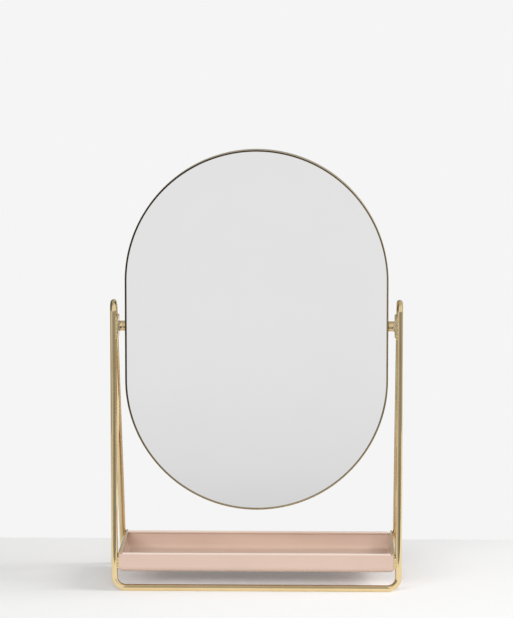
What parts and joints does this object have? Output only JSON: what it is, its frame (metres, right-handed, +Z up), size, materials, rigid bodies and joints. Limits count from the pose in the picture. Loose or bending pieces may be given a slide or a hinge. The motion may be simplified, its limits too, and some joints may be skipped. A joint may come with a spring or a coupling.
{
  "type": "tilting vanity mirror with tray",
  "caption": "Round-ended vanity mirror that turns on two pivots in a bent wire stand, over an open rectangular tray for small things.",
  "frame": {"origin": "on the table, under the middle of the stand's outside box", "axes": "+X to the right seen from the front, +Y from the front to the back, +Z up"},
  "size_m": [0.22, 0.1072, 0.3347],
  "materials": {
    "gold_wire": "pale gold plating over steel wire, bright",
    "gold_rim": "pale gold plating over steel strip, bright",
    "gold_fittings": "pale gold plating over steel, bright",
    "pink_enamel": "blush pink enamel, satin",
    "mirror_glass": "silvered float glass",
    "bedding_foam": "thin foam mounting tape",
    "backing_board": "fibreboard, sanded",
    "back_cover": "pale gold lacquer on sheet steel, satin",
    "plain_steel": "zinc plated steel",
    "nylon": "natural nylon"
  },
  "bodies": {
    "stand": {"stand_wire": "gold_wire", "tray_rod_left": "gold_wire", "tray_rod_right": "gold_wire", "pivot_plate_left": "gold_fittings", "pivot_plate_right": "gold_fittings", "tray": "pink_enamel"},
    "mirror": {"mirror_rim": "gold_rim", "mirror_glass": "mirror_glass", "glass_bedding": "bedding_foam", "backing_board": "backing_board", "back_cover": "back_cover", "cover_screws": "gold_fittings", "pivot_lug_left": "plain_steel", "pivot_lug_right": "plain_steel", "collar_left": "gold_fittings", "collar_right": "gold_fittings", "nylon_washer_left": "nylon", "nylon_washer_right": "nylon", "spring_washer_left": "plain_steel", "spring_washer_right": "plain_steel", "pivot_screw_left": "gold_fittings", "pivot_screw_right": "gold_fittings"}
  },
  "joints": [
    {"name": "mirror_tilt", "type": "hinge", "parent": "stand", "child": "mirror", "pos_m": [0, -0.04234, 0.20145], "axis": [1, 0, 0], "continuous": true}
  ]
}
